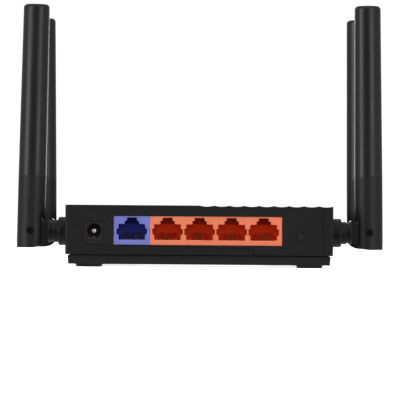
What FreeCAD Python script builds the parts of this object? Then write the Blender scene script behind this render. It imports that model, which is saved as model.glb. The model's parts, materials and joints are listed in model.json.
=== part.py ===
import FreeCAD, Part
import math
import os

# A compact wireless router: a two-part plastic case with five network sockets, a power socket and
# a recessed button in its rear wall, and four hinged antennas, two on each side.
# Millimetres. +Z is up, the socket wall faces -Y, and the origin is on the table under the middle.

# Case
WIDTH = 116.7
DEPTH = 106.0
TOP_Z = 27.0
SEAM_Z = 5.4
SEAM_GAP = 0.2
UNDERSIDE_Z = 1.25
CORNER_R = 1.2
TOP_EDGE_R = 0.6
WALL = 1.8
ROOF = 2.2
FLOOR = 2.05
LOWER_INSET_TOP = 0.9
LOWER_INSET_BOTTOM = 1.25
LOWER_WALL = 1.6
LIP_WALL = 1.1
LIP_TOP_Z = 7.6
LIP_CLEARANCE = 0.1
REAR_Y = -DEPTH / 2
FRONT_Y = DEPTH / 2
FLOOR_Z = UNDERSIDE_Z + FLOOR

# Fluted part of the roof: shallow hollows side by side, running from back to front
FLUTE_START_X = 0.1
FLUTE_PITCH = 6.5
FLUTE_COUNT = 9
FLUTE_DEPTH = 0.44
FLUTE_RIDGE = 0.3

# Fine lines moulded in the rear wall: one over its full height, one short
GROOVE_X = (53.95, 54.25)
TICK_X = (23.65, 23.95)
TICK_TOP_Z = 8.2
MARK_DEPTH = 0.25

# Case screws, driven from below into bosses under the roof
CASE_SCREWS = [(-49.0, -14.0), (49.0, -14.0), (-36.0, 46.0), (36.0, 46.0)]
POST_R = 3.2
POST_FOOT_R = 4.4
POST_TOP_Z = 9.9
HEAD_RECESS_R = 3.1
HEAD_SEAT_Z = 4.7
SCREW_HOLE_R = 1.6
BOSS_R = 2.8
BOSS_GAP = 0.2
PILOT_R = 1.35
CASE_SCREW_R = 1.3
CASE_SCREW_HEAD_R = 2.7
CASE_SCREW_TIP_Z = 17.0

# Feet and wall fixing
FOOT_X = 48.3
FOOT_Y = 44.0
FOOT_TOP_HALF = 5.85
FOOT_BOTTOM_HALF = 5.3
FOOT_CORNER_R = 2.4
KEYHOLE_X = 32.0
KEYHOLE_HEAD_R = 4.0
KEYHOLE_SLOT_W = 4.2
KEYHOLE_SLOT_LENGTH = 9.0
LABEL_HALF_X = 30.0
LABEL_Y = (21.0, 40.0)
LABEL_THICKNESS = 0.2

# Circuit board
BOARD_TOP_Z = 9.7
BOARD_THICKNESS = 1.6
BOARD_HALF_X = 52.0
BOARD_Y = (-50.0, 49.0)
BOARD_POST_CUT_R = 3.8
BOARD_SCREWS = [(-39.5, -22.0), (39.5, -22.0), (-30.0, 38.5), (30.0, 38.5)]
STANDOFF_R = 2.6
BOARD_SCREW_R = 0.9
BOARD_SCREW_HEAD_R = 2.0
BOARD_SCREW_HEAD_H = 1.2
BOARD_SCREW_LENGTH = 5.0

# Network sockets: eight-way, latch slot upwards
SOCKET_RECESS = 0.4
SOCKET_FACE_Y = REAR_Y + SOCKET_RECESS
SOCKET_BACK_Y = -36.4
SOCKET_TOP_Z = 22.3
SOCKET_PITCH = 13.95
SOCKET_DEPTH = 13.1
WAN_X = (-37.2, -21.45)
LAN_X = (-21.4, 36.1)
WAN_CENTRE_X = -29.3
LAN_FIRST_X = -13.75
LAN_COUNT = 4
WINDOW_CLEARANCE = 0.1
MAIN_HALF_W = 5.8
MAIN_Z = (11.9, 18.75)
LATCH_HALF_W = 3.1
LATCH_TOP_Z = 20.25
KEY_HALF_W = 2.15
KEY_TOP_Z = 21.6
NOTCH_HALF_W = 6.63
NOTCH_Z = (14.15, 16.8)
CONTACT_COUNT = 8
CONTACT_PITCH = 1.02
CONTACT_W = 0.45
CONTACT_T = 0.3
CONTACT_BED_HALF_W = 4.5
CONTACT_BED_Z = 10.7
CONTACT_LEG_Y = -38.3
CONTACT_RUN_Z = 11.25
CONTACT_BEND_Y = -48.9
CONTACT_TIP = (-41.5, 15.0)

# Power socket
JACK_X = (-50.1, -41.4)
JACK_TOP_Z = 19.9
JACK_FACE_Y = REAR_Y + 0.3
JACK_BACK_Y = -41.5
JACK_BORE_X = -45.75
JACK_BORE_Z = 15.7
JACK_BORE_R = 3.08
JACK_FLOOR_Y = -43.5
JACK_PIN_R = 1.0
JACK_PIN_TAIL_R = 0.8
JACK_PIN_TIP_Y = -51.6

# Button beside the sockets
BUTTON_X = 44.35
BUTTON_Z = 13.65
BUTTON_R = 1.74
BUTTON_CLEARANCE = 0.08
BUTTON_FACE_Y = REAR_Y + 0.15
BUTTON_STEM_R = 1.2
BUTTON_FLANGE_R = 2.6
PLUNGER_R = 0.9
PLUNGER_CLEARANCE = 0.05
SWITCH_FRONT_Y = -46.0
SWITCH_BACK_Y = -41.5

# Antenna hinges: the swivel turns about X, and the antenna folds about Y at the pivot
HINGE_Y = 33.0
HINGE_Z = 15.5
PIVOT_X = 74.9
JOURNAL_R = 4.14
JOURNAL_HOLE_R = 4.2
COLLAR_R = 6.3
COLLAR_X = (58.45, 62.7)
NECK_R = 4.97
NECK_END = 7.7
NECK_GROOVE_X = (64.8, 65.9)
NECK_GROOVE_R = 4.5
CLIP_X = (55.3, 56.45)
CLIP_GROOVE_X = (55.15, 56.55)
CLIP_GROOVE_R = 3.0
CLIP_CLEARANCE = 0.06
CLIP_R = 6.5
SWIVEL_INNER_X = 52.85
CABLE_BORE_R = 1.1
KNUCKLE_R = 7.1
KNUCKLE_HUB_R = 4.4
KNUCKLE_HALF_T = 2.2
KNUCKLE_HALF_H = 4.3
KNUCKLE_STOP_X = 0.4
KNUCKLE_GAP = 0.5
HUB_GAP = 0.3
FORK_SLOT_HALF_T = 2.35
HINGE_PIN_R = 1.5
HINGE_PIN_CLEARANCE = 0.05
HINGE_PIN_HALF_L = 3.75
PIN_SINK_R = 1.95
PIN_DISH = (0.95, 0.35)

# Antenna: the moulded fork and, above it, the hollow sleeve
FORK_BOTTOM = -7.45
FORK_TOP = 24.6
ANTENNA_TIP = 100.8
SLEEVE_HALF_X = (6.2, 5.8)
SLEEVE_HALF_Y = (4.2, 3.85)
SLEEVE_WALL = 1.25
SLEEVE_ROOF = 1.6
TIP_ROUND = 1.7
SPIGOT_LENGTH = 8.0
SPIGOT_CLEARANCE = 0.05
CHEEK_TOP = (-4.1, 6.4)
CHEEK_LOW_X = -4.9
CHEEK_ROUND_R = 7.4
WEB_TIP_X = 6.2
LEAD_R = 0.57
SLEEVE_LEAD = (8.2, 47.0)
RADIATOR_TUBE_R = 1.9
RADIATOR_BORE_R = 0.62
RADIATOR_Z = (36.0, 64.0, 92.0)
RADIATOR_ROD_R = 0.6
INWARD_LEAN = {"rear_left": 1.0, "rear_right": 0.65, "front_left": -0.5, "front_right": 0.65}


def V(x, y, z):
    return FreeCAD.Vector(x, y, z)


def block(x, y, z):
    """A box between the two ends of each of three ranges."""
    return Part.makeBox(x[1] - x[0], y[1] - y[0], z[1] - z[0], V(x[0], y[0], z[0]))


def slab(cx, cy, width, depth, z0, height):
    """A box centred on a point of the plan."""
    return block((cx - width / 2, cx + width / 2), (cy - depth / 2, cy + depth / 2), (z0, z0 + height))


def post(x, y, radius, z0, z1):
    return Part.makeCylinder(radius, z1 - z0, V(x, y, z0))


def rod_y(x, z, radius, y0, y1):
    return Part.makeCylinder(radius, y1 - y0, V(x, y0, z), V(0, 1, 0))


def rod_x(y, z, radius, x0, x1):
    return Part.makeCylinder(radius, x1 - x0, V(x0, y, z), V(1, 0, 0))


def rounded_wire(half_x, half_y, radius, z, cx=0.0, cy=0.0):
    """A rounded rectangle as a closed wire at height z."""
    edges = []
    corners = [(1, 1, 0), (-1, 1, 90), (-1, -1, 180), (1, -1, 270)]
    arcs = []
    for sx, sy, start in corners:
        centre = V(cx + sx * (half_x - radius), cy + sy * (half_y - radius), z)
        circle = Part.Circle(centre, V(0, 0, 1), radius)
        arcs.append(Part.ArcOfCircle(circle, math.radians(start), math.radians(start + 90)))
    for index, arc in enumerate(arcs):
        following = arcs[(index + 1) % len(arcs)]
        edges.append(arc.toShape())
        edges.append(Part.LineSegment(arc.EndPoint, following.StartPoint).toShape())
    return Part.Wire(edges)


def rounded_block(half_x, half_y, radius, z0, z1):
    face = Part.Face(rounded_wire(half_x, half_y, radius, z0))
    return face.extrude(V(0, 0, z1 - z0))


def drafted_block(bottom, top, radius, z0, z1, cx=0.0, cy=0.0):
    """A rounded block whose plan changes from bottom to top, each given as (half_x, half_y)."""
    low = rounded_wire(bottom[0], bottom[1], radius, z0, cx, cy)
    high = rounded_wire(top[0], top[1], radius, z1, cx, cy)
    return Part.makeLoft([low, high], True, True)


def extruded(points, direction):
    """The closed outline through the points, extruded along direction."""
    return Part.Face(Part.makePolygon(points + [points[0]])).extrude(direction)


def strip_outline(path, thickness):
    """Both sides of an open path of straight runs, as one closed list of (y, z) points."""
    half = thickness / 2
    left = []
    right = []
    for index, point in enumerate(path):
        before = path[max(index - 1, 0)]
        after = path[min(index + 1, len(path) - 1)]
        into = math.atan2(point[1] - before[1], point[0] - before[0])
        out = math.atan2(after[1] - point[1], after[0] - point[0])
        if index == 0:
            into = out
        if index == len(path) - 1:
            out = into
        turn = math.atan2(math.sin(out - into), math.cos(out - into))
        middle = into + turn / 2 + math.pi / 2
        reach = half / math.cos(turn / 2)
        left.append((point[0] + reach * math.cos(middle), point[1] + reach * math.sin(middle)))
        right.append((point[0] - reach * math.cos(middle), point[1] - reach * math.sin(middle)))
    return left + right[::-1]


def cable(points, radius):
    """A round cable along straight runs joined by tangent arcs as large as the runs allow."""
    edges = []
    start = points[0]
    for before, corner, after in zip(points, points[1:], points[2:]):
        back = (before - corner).normalize()
        ahead = (after - corner).normalize()
        turn = math.pi - back.getAngle(ahead)
        trim = 0.45 * min((before - corner).Length, (after - corner).Length)
        bend_r = trim / math.tan(turn / 2)
        arc_start = corner + back * trim
        arc_end = corner + ahead * trim
        inward = (back + ahead).normalize()
        middle = corner + inward * (bend_r / math.cos(turn / 2) - bend_r)
        edges.append(Part.LineSegment(start, arc_start).toShape())
        edges.append(Part.Arc(arc_start, middle, arc_end).toShape())
        start = arc_end
    edges.append(Part.LineSegment(start, points[-1]).toShape())
    path = Part.Wire(edges)
    section = Part.Wire([Part.Circle(points[0], points[1] - points[0], radius).toShape()])
    tube = path.makePipeShell([section], True, False)
    ideal = math.pi * radius**2 * path.Length
    print("cable", round(path.Length, 1), "mm, volume / ideal", round(tube.Volume / ideal, 4))
    return tube


def socket_centres():
    lan = [LAN_FIRST_X + SOCKET_PITCH * index for index in range(LAN_COUNT)]
    return [WAN_CENTRE_X], lan


# ---------------------------------------------------------------- case


def flutes():
    """The cutters for the hollows in the roof: wide cylinders that just dip into it."""
    half_chord = (FLUTE_PITCH - FLUTE_RIDGE) / 2
    radius = (half_chord**2 + FLUTE_DEPTH**2) / (2 * FLUTE_DEPTH)
    axis_z = TOP_Z - FLUTE_DEPTH + radius
    cutters = []
    for index in range(FLUTE_COUNT):
        x = FLUTE_START_X + FLUTE_PITCH * (index + 0.5)
        cutters.append(rod_y(x, axis_z, radius, REAR_Y - 1, FRONT_Y + 1))
    return cutters


def led_places():
    return [(-28.0 + 6.0 * index, 44.5) for index in range(5)]


def rear_wall_cuts():
    """The socket window, the power socket's window, the button's hole and two fine marks."""
    through = (REAR_Y - 1, REAR_Y + WALL + 1)
    gap = WINDOW_CLEARANCE
    window = block((WAN_X[0] - gap, LAN_X[1] + gap), through, (BOARD_TOP_Z - gap, SOCKET_TOP_Z + gap))
    jack = block((JACK_X[0] - gap, JACK_X[1] + gap), through, (BOARD_TOP_Z - gap, JACK_TOP_Z + gap))
    hole = rod_y(BUTTON_X, BUTTON_Z, BUTTON_R + BUTTON_CLEARANCE, through[0], through[1])
    mark_y = (REAR_Y - 1, REAR_Y + MARK_DEPTH)
    groove = block(GROOVE_X, mark_y, (SEAM_Z - 1, TOP_Z + 1))
    tick = block(TICK_X, mark_y, (SEAM_Z - 1, TICK_TOP_Z))
    return [window, jack, hole, groove, tick]


def top_cover():
    outer = rounded_block(WIDTH / 2, DEPTH / 2, CORNER_R, SEAM_Z, TOP_Z)
    rim = [edge for edge in outer.Edges if min(v.Z for v in edge.Vertexes) > TOP_Z - 0.01]
    outer = outer.makeFillet(TOP_EDGE_R, rim)
    inner = rounded_block(WIDTH / 2 - WALL, DEPTH / 2 - WALL, 0.5, SEAM_Z - 1, TOP_Z - ROOF)
    shape = outer.cut(inner)
    bosses = [post(x, y, BOSS_R, POST_TOP_Z + BOSS_GAP, TOP_Z - ROOF + 0.5) for x, y in CASE_SCREWS]
    shape = shape.fuse(bosses)
    cutters = flutes() + rear_wall_cuts()
    for x, y in CASE_SCREWS:
        cutters.append(post(x, y, PILOT_R, POST_TOP_Z, TOP_Z - ROOF - 2))
    for x, y in led_places():
        cutters.append(slab(x, y, 2.2, 1.2, TOP_Z - ROOF - 1, ROOF + 2))
    for side in (-1, 1):
        for end in (-1, 1):
            x0, x1 = sorted((side * (WIDTH / 2 - WALL - 1), side * (WIDTH / 2 + 1)))
            cutters.append(rod_x(end * HINGE_Y, HINGE_Z, JOURNAL_HOLE_R, x0, x1))
    return shape.cut(cutters).removeSplitter()


def keyhole(x):
    """A round entry for a screw head with a slot leading from it towards the front."""
    z = (UNDERSIDE_Z - 1, FLOOR_Z + 1)
    head = post(x, -3.0, KEYHOLE_HEAD_R, z[0], z[1])
    half = KEYHOLE_SLOT_W / 2
    slot = block((x - half, x + half), (-3.0, -3.0 + KEYHOLE_SLOT_LENGTH), z)
    end = post(x, -3.0 + KEYHOLE_SLOT_LENGTH, half, z[0], z[1])
    return head.fuse([slot, end])


def bottom_case():
    bottom = (WIDTH / 2 - LOWER_INSET_BOTTOM, DEPTH / 2 - LOWER_INSET_BOTTOM)
    top = (WIDTH / 2 - LOWER_INSET_TOP, DEPTH / 2 - LOWER_INSET_TOP)
    outer = drafted_block(bottom, top, CORNER_R, UNDERSIDE_Z, SEAM_Z - SEAM_GAP)
    inner = rounded_block(top[0] - LOWER_WALL, top[1] - LOWER_WALL, 0.5, FLOOR_Z, SEAM_Z + 1)
    shape = outer.cut(inner)
    lip_x = WIDTH / 2 - WALL - LIP_CLEARANCE
    lip_y = DEPTH / 2 - WALL - LIP_CLEARANCE
    lip = rounded_block(lip_x, lip_y, 0.6, FLOOR_Z - 0.2, LIP_TOP_Z)
    lip = lip.cut(rounded_block(lip_x - LIP_WALL, lip_y - LIP_WALL, 0.5, FLOOR_Z - 1, LIP_TOP_Z + 1))
    added = [lip]
    for x, y in CASE_SCREWS:
        added.append(post(x, y, POST_FOOT_R, FLOOR_Z - 0.5, HEAD_SEAT_Z + 1.5))
        added.append(post(x, y, POST_R, FLOOR_Z - 0.5, POST_TOP_Z))
    for x, y in BOARD_SCREWS:
        added.append(post(x, y, STANDOFF_R, FLOOR_Z - 0.5, BOARD_TOP_Z - BOARD_THICKNESS))
    shape = shape.fuse(added)
    cutters = [keyhole(-KEYHOLE_X), keyhole(KEYHOLE_X)]
    for x, y in CASE_SCREWS:
        cutters.append(post(x, y, SCREW_HOLE_R, UNDERSIDE_Z - 1, POST_TOP_Z + 1))
        cutters.append(post(x, y, HEAD_RECESS_R, UNDERSIDE_Z - 1, HEAD_SEAT_Z))
    for x, y in BOARD_SCREWS:
        cutters.append(post(x, y, BOARD_SCREW_R + 0.02, FLOOR_Z + 0.5, BOARD_TOP_Z))
    for index in range(9):
        cutters.append(slab(-20.0 + 5.0 * index, 0.0, 2.0, 30.0, UNDERSIDE_Z - 1, FLOOR + 2))
        cutters.append(slab(-20.0 + 5.0 * index, -34.0, 2.0, 18.0, UNDERSIDE_Z - 1, FLOOR + 2))
    cutters.append(block((-LABEL_HALF_X, LABEL_HALF_X), LABEL_Y, (0.5, UNDERSIDE_Z + LABEL_THICKNESS)))
    return shape.cut(cutters).removeSplitter()


def underside_label():
    inset = 0.3
    x = (-LABEL_HALF_X + inset, LABEL_HALF_X - inset)
    y = (LABEL_Y[0] + inset, LABEL_Y[1] - inset)
    return block(x, y, (UNDERSIDE_Z, UNDERSIDE_Z + LABEL_THICKNESS))


def rubber_feet():
    feet = []
    bottom = (FOOT_BOTTOM_HALF, FOOT_BOTTOM_HALF)
    top = (FOOT_TOP_HALF, FOOT_TOP_HALF)
    for x in (-FOOT_X, FOOT_X):
        for y in (-FOOT_Y, FOOT_Y):
            feet.append(drafted_block(bottom, top, FOOT_CORNER_R, 0.0, UNDERSIDE_Z, x, y))
    return Part.makeCompound(feet)


def cross_recess(x, y, z, size, depth):
    """The cutter for a cross-head screw's drive, cut upwards from z."""
    bar = slab(x, y, size, size * 0.28, z, depth)
    other = slab(x, y, size * 0.28, size, z, depth)
    return bar.fuse(other)


def case_screws():
    screws = []
    for x, y in CASE_SCREWS:
        head = post(x, y, CASE_SCREW_HEAD_R, HEAD_SEAT_Z - 1.6, HEAD_SEAT_Z)
        shank = post(x, y, CASE_SCREW_R, HEAD_SEAT_Z - 0.5, CASE_SCREW_TIP_Z)
        drive = cross_recess(x, y, HEAD_SEAT_Z - 2.0, 2.8, 1.3)
        screws.append(head.fuse(shank).cut(drive).removeSplitter())
    return Part.makeCompound(screws)


# ---------------------------------------------------------------- board


def circuit_board():
    z = (BOARD_TOP_Z - BOARD_THICKNESS, BOARD_TOP_Z)
    shape = block((-BOARD_HALF_X, BOARD_HALF_X), BOARD_Y, z)
    cutters = [post(x, y, BOARD_POST_CUT_R, z[0] - 1, z[1] + 1) for x, y in CASE_SCREWS]
    cutters += [post(x, y, BOARD_SCREW_R + 0.2, z[0] - 1, z[1] + 1) for x, y in BOARD_SCREWS]
    return shape.cut(cutters)


def board_screws():
    screws = []
    for x, y in BOARD_SCREWS:
        head = post(x, y, BOARD_SCREW_HEAD_R, BOARD_TOP_Z, BOARD_TOP_Z + BOARD_SCREW_HEAD_H)
        shank = post(x, y, BOARD_SCREW_R, BOARD_TOP_Z - BOARD_SCREW_LENGTH, BOARD_TOP_Z + 0.5)
        drive = cross_recess(x, y, BOARD_TOP_Z + 0.5, 2.2, 1.0)
        screws.append(head.fuse(shank).cut(drive).removeSplitter())
    return Part.makeCompound(screws)


def processor_chip():
    return slab(2.0, -6.0, 14.0, 14.0, BOARD_TOP_Z, 1.4)


def thermal_pad():
    return slab(2.0, -6.0, 13.0, 13.0, BOARD_TOP_Z + 1.4, 0.6)


def heatsink():
    """A finned block over the processor."""
    z = BOARD_TOP_Z + 2.0
    shape = slab(2.0, -6.0, 24.0, 24.0, z, 8.0)
    gaps = [slab(-7.6 + 3.2 * index, -6.0, 2.0, 30.0, z + 2.0, 8.0) for index in range(7)]
    return shape.cut(gaps)


def gull_wing_chip(cx, cy, width, depth, height, leads, pitch):
    """A moulded chip with a row of flat leads along both long sides."""
    parts = [slab(cx, cy, width, depth, BOARD_TOP_Z + 0.1, height)]
    for side in (-1, 1):
        for index in range(leads):
            x = cx + pitch * (index - (leads - 1) / 2)
            parts.append(slab(x, cy + side * (depth / 2 + 0.4), pitch * 0.4, 1.0, BOARD_TOP_Z, 0.3))
    return parts[0].fuse(parts[1:])


def memory_chip():
    return slab(26.0, -8.0, 9.0, 13.0, BOARD_TOP_Z, 1.1)


def flash_chip():
    return gull_wing_chip(37.0, -6.0, 5.2, 5.2, 1.8, 4, 1.27)


def radio_chips():
    left = slab(-24.0, 12.0, 7.0, 7.0, BOARD_TOP_Z, 0.9)
    right = slab(27.0, 14.0, 7.0, 7.0, BOARD_TOP_Z, 0.9)
    return Part.makeCompound([left, right])


def shield_can(cx, cy, width, depth):
    height = 2.8
    sheet = 0.3
    can = slab(cx, cy, width, depth, BOARD_TOP_Z, height)
    inside = slab(cx, cy, width - 2 * sheet, depth - 2 * sheet, BOARD_TOP_Z - 1, height - sheet + 1)
    holes = []
    for column in range(4):
        for row in range(3):
            x = cx + (column - 1.5) * width / 6
            y = cy + (row - 1) * depth / 5
            holes.append(post(x, y, 0.7, BOARD_TOP_Z + 1, BOARD_TOP_Z + height + 1))
    return can.cut([inside] + holes)


def shield_cans():
    return Part.makeCompound([shield_can(-24.0, 12.0, 26.0, 24.0), shield_can(27.0, 14.0, 20.0, 20.0)])


def network_transformers():
    places = [-29.0, -7.0, 13.0]
    return Part.makeCompound([gull_wing_chip(x, -29.5, 14.0, 6.6, 5.6, 8, 1.5) for x in places])


def electrolytic_capacitors():
    cans = []
    for x, y, radius, height in [(-18.0, -19.0, 3.15, 8.0), (-18.0, -11.0, 3.15, 8.0), (33.0, -29.0, 2.5, 7.0)]:
        can = post(x, y, radius, BOARD_TOP_Z, BOARD_TOP_Z + height)
        rim = [edge for edge in can.Edges if edge.BoundBox.ZMin > BOARD_TOP_Z + height - 0.01]
        can = can.makeFillet(0.4, rim)
        score = slab(x, y, radius * 1.2, 0.3, BOARD_TOP_Z + height - 0.2, 1.0)
        other = slab(x, y, 0.3, radius * 1.2, BOARD_TOP_Z + height - 0.2, 1.0)
        cans.append(can.cut([score, other]))
    return Part.makeCompound(cans)


def power_inductor():
    """A square shielded coil with a round core in its top."""
    shape = slab(-30.0, -14.0, 7.0, 7.0, BOARD_TOP_Z, 4.0)
    upright = [edge for edge in shape.Edges if edge.BoundBox.ZLength > 3.9]
    shape = shape.makeFillet(1.2, upright)
    ring = post(-30.0, -14.0, 2.9, BOARD_TOP_Z + 3.6, BOARD_TOP_Z + 5)
    core = post(-30.0, -14.0, 2.3, BOARD_TOP_Z + 3.0, BOARD_TOP_Z + 4.0)
    return shape.cut(ring).fuse(core).removeSplitter()


def crystal():
    shape = slab(22.0, -20.0, 11.0, 4.6, BOARD_TOP_Z, 3.4)
    upright = [edge for edge in shape.Edges if edge.BoundBox.ZLength > 3.3]
    return shape.makeFillet(2.1, upright)


def status_leds():
    return Part.makeCompound([slab(x, y, 1.6, 0.8, BOARD_TOP_Z, 0.6) for x, y in led_places()])


def light_guide():
    """Five clear posts on one bar, each reaching from a lamp to its slot in the roof."""
    bar = slab(-16.0, 44.5, 27.0, 2.4, 19.0, 1.6)
    prongs = [slab(x, y, 2.0, 1.0, BOARD_TOP_Z + 1.0, TOP_Z - BOARD_TOP_Z - 1.1) for x, y in led_places()]
    return bar.fuse(prongs).removeSplitter()


# ---------------------------------------------------------------- sockets


def socket_cuts(cx):
    """Everything that is hollow in one network socket."""
    y = (SOCKET_FACE_Y - 1, SOCKET_FACE_Y + SOCKET_DEPTH)
    bed_x = (cx - CONTACT_BED_HALF_W, cx + CONTACT_BED_HALF_W)
    return [
        block((cx - MAIN_HALF_W, cx + MAIN_HALF_W), y, MAIN_Z),
        block((cx - LATCH_HALF_W, cx + LATCH_HALF_W), y, (MAIN_Z[0], LATCH_TOP_Z)),
        block((cx - KEY_HALF_W, cx + KEY_HALF_W), y, (MAIN_Z[0], KEY_TOP_Z)),
        block((cx - NOTCH_HALF_W, cx + NOTCH_HALF_W), y, NOTCH_Z),
        block(bed_x, (CONTACT_BEND_Y - 0.7, CONTACT_LEG_Y + 0.5), (CONTACT_BED_Z, MAIN_Z[0] + 0.1)),
        block(bed_x, (CONTACT_LEG_Y - 0.5, CONTACT_LEG_Y + 0.5), (BOARD_TOP_Z - 1, CONTACT_BED_Z + 0.1)),
    ]


def socket_housing(x, centres):
    shape = block(x, (SOCKET_FACE_Y, SOCKET_BACK_Y), (BOARD_TOP_Z, SOCKET_TOP_Z))
    cutters = []
    for centre in centres:
        cutters += socket_cuts(centre)
    return shape.cut(cutters).removeSplitter()


def contact_springs(centres):
    """Eight bent wires in each socket, from a foot on the board to a tip inside the opening."""
    path = [
        (CONTACT_LEG_Y, BOARD_TOP_Z + 0.02),
        (CONTACT_LEG_Y, CONTACT_RUN_Z),
        (CONTACT_BEND_Y, CONTACT_RUN_Z),
        CONTACT_TIP,
    ]
    outline = strip_outline(path[:3], CONTACT_T)
    spring = strip_outline([(CONTACT_BEND_Y + 0.05, CONTACT_RUN_Z), CONTACT_TIP], CONTACT_T)
    springs = []
    for centre in centres:
        for index in range(CONTACT_COUNT):
            x = centre + CONTACT_PITCH * (index - (CONTACT_COUNT - 1) / 2) - CONTACT_W / 2
            bed = extruded([V(x, y, z) for y, z in outline], V(CONTACT_W, 0, 0))
            arm = extruded([V(x, y, z) for y, z in spring], V(CONTACT_W, 0, 0))
            springs.append(bed.fuse(arm).removeSplitter())
    return Part.makeCompound(springs)


def power_jack_housing():
    shape = block(JACK_X, (JACK_FACE_Y, JACK_BACK_Y), (BOARD_TOP_Z, JACK_TOP_Z))
    bore = rod_y(JACK_BORE_X, JACK_BORE_Z, JACK_BORE_R, JACK_FACE_Y - 1, JACK_FLOOR_Y)
    tail = rod_y(JACK_BORE_X, JACK_BORE_Z, JACK_PIN_TAIL_R + 0.02, JACK_FLOOR_Y - 1, JACK_BACK_Y + 1)
    lead_in = Part.makeCone(JACK_BORE_R + 0.35, JACK_BORE_R, 0.35, V(JACK_BORE_X, JACK_FACE_Y, JACK_BORE_Z), V(0, 1, 0))
    bed = block((JACK_BORE_X - 0.8, JACK_BORE_X + 0.8), (JACK_FACE_Y + 1.2, JACK_BACK_Y + 1), (12.0, 13.4))
    return shape.cut([bore, tail, lead_in, bed]).removeSplitter()


def power_jack_pin():
    body = rod_y(JACK_BORE_X, JACK_BORE_Z, JACK_PIN_R, JACK_PIN_TIP_Y + 0.3, JACK_FLOOR_Y)
    tip = Part.makeCone(JACK_PIN_R - 0.3, JACK_PIN_R, 0.3, V(JACK_BORE_X, JACK_PIN_TIP_Y, JACK_BORE_Z), V(0, 1, 0))
    tail = rod_y(JACK_BORE_X, JACK_BORE_Z, JACK_PIN_TAIL_R, JACK_FLOOR_Y - 0.5, JACK_BACK_Y + 0.8)
    tab_y = (JACK_BACK_Y + 0.1, JACK_BACK_Y + 0.8)
    tab = block((JACK_BORE_X - 0.5, JACK_BORE_X + 3.0), tab_y, (JACK_BORE_Z - 0.5, JACK_BORE_Z + 0.5))
    leg = block((JACK_BORE_X + 2.2, JACK_BORE_X + 3.0), tab_y, (BOARD_TOP_Z + 0.02, JACK_BORE_Z))
    return body.fuse([tip, tail, tab, leg]).removeSplitter()


def power_jack_contact():
    """The side spring: a strip in the bed under the bore, bowed up into it, with a foot behind."""
    path = [(-51.0, 12.35), (-49.8, 13.2), (-48.4, 12.35), (-40.3, 12.35), (-40.3, BOARD_TOP_Z + 0.02)]
    outline = strip_outline(path, 0.25)
    return extruded([V(JACK_BORE_X - 0.55, y, z) for y, z in outline], V(1.1, 0, 0))


# ---------------------------------------------------------------- button


def reset_button_cap():
    """A round cap in the rear wall, with a flange behind the wall that keeps it in."""
    flange_y = REAR_Y + WALL + 0.3
    cap = rod_y(BUTTON_X, BUTTON_Z, BUTTON_R, BUTTON_FACE_Y, flange_y)
    edge = [item for item in cap.Edges if item.BoundBox.YMax < BUTTON_FACE_Y + 0.01]
    cap = cap.makeFillet(0.25, edge)
    flange = rod_y(BUTTON_X, BUTTON_Z, BUTTON_FLANGE_R, flange_y - 0.01, flange_y + 0.8)
    stem = rod_y(BUTTON_X, BUTTON_Z, BUTTON_STEM_R, flange_y + 0.7, SWITCH_FRONT_Y - 1.2)
    return cap.fuse([flange, stem]).removeSplitter()


def switch_plunger():
    return rod_y(BUTTON_X, BUTTON_Z, PLUNGER_R, SWITCH_FRONT_Y - 1.2, SWITCH_FRONT_Y + 1.4)


def reset_switch_body():
    shape = block((BUTTON_X - 3.1, BUTTON_X + 3.1), (SWITCH_FRONT_Y, SWITCH_BACK_Y), (BOARD_TOP_Z, 16.4))
    bore = rod_y(BUTTON_X, BUTTON_Z, PLUNGER_R + PLUNGER_CLEARANCE, SWITCH_FRONT_Y - 1, SWITCH_FRONT_Y + 2.1)
    return shape.cut(bore)


# ---------------------------------------------------------------- antennas, made for the right side


def swivel_base():
    """Journal, collar, neck and the round knuckle that the antenna folds on, all on the X axis."""
    neck_end_x = PIVOT_X - NECK_END
    parts = [
        rod_x(0, HINGE_Z, CLIP_GROOVE_R, SWIVEL_INNER_X, CLIP_GROOVE_X[1] + 0.1),
        rod_x(0, HINGE_Z, JOURNAL_R - 0.04, SWIVEL_INNER_X, CLIP_GROOVE_X[0]),
        rod_x(0, HINGE_Z, JOURNAL_R, CLIP_GROOVE_X[1], COLLAR_X[0] + 0.1),
        collar(),
        rod_x(0, HINGE_Z, NECK_R, COLLAR_X[1] - 0.1, NECK_GROOVE_X[0]),
        rod_x(0, HINGE_Z, NECK_GROOVE_R, NECK_GROOVE_X[0] - 0.1, NECK_GROOVE_X[1] + 0.1),
        rod_x(0, HINGE_Z, NECK_R, NECK_GROOVE_X[1], neck_end_x),
        block(
            (neck_end_x - 0.1, PIVOT_X - 3),
            (-KNUCKLE_HALF_T, KNUCKLE_HALF_T),
            (HINGE_Z - KNUCKLE_HALF_H, HINGE_Z + KNUCKLE_HALF_H),
        ),
        rod_y(PIVOT_X, HINGE_Z, KNUCKLE_HUB_R, -KNUCKLE_HALF_T, KNUCKLE_HALF_T),
        knuckle_shoulder(),
    ]
    shape = parts[0].fuse(parts[1:])
    pin_hole = rod_y(PIVOT_X, HINGE_Z, HINGE_PIN_R + HINGE_PIN_CLEARANCE, -5, 5)
    cable_bore = rod_x(0, HINGE_Z, CABLE_BORE_R, SWIVEL_INNER_X - 1, neck_end_x - 0.6)
    return shape.cut([pin_hole, cable_bore]).removeSplitter()


def knuckle_shoulder():
    """The quarter disc above the knuckle's tongue, which stops the antenna when it is upright."""
    disc = rod_y(PIVOT_X, HINGE_Z, KNUCKLE_R, -KNUCKLE_HALF_T, KNUCKLE_HALF_T)
    quarter = block((PIVOT_X - 9, PIVOT_X - KNUCKLE_STOP_X), (-3, 3), (HINGE_Z, HINGE_Z + 9))
    return disc.common(quarter)


def collar():
    shape = rod_x(0, HINGE_Z, COLLAR_R, COLLAR_X[0], COLLAR_X[1])
    rim = [edge for edge in shape.Edges if edge.BoundBox.XMin > COLLAR_X[1] - 0.01]
    return shape.makeFillet(0.8, rim)


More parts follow.
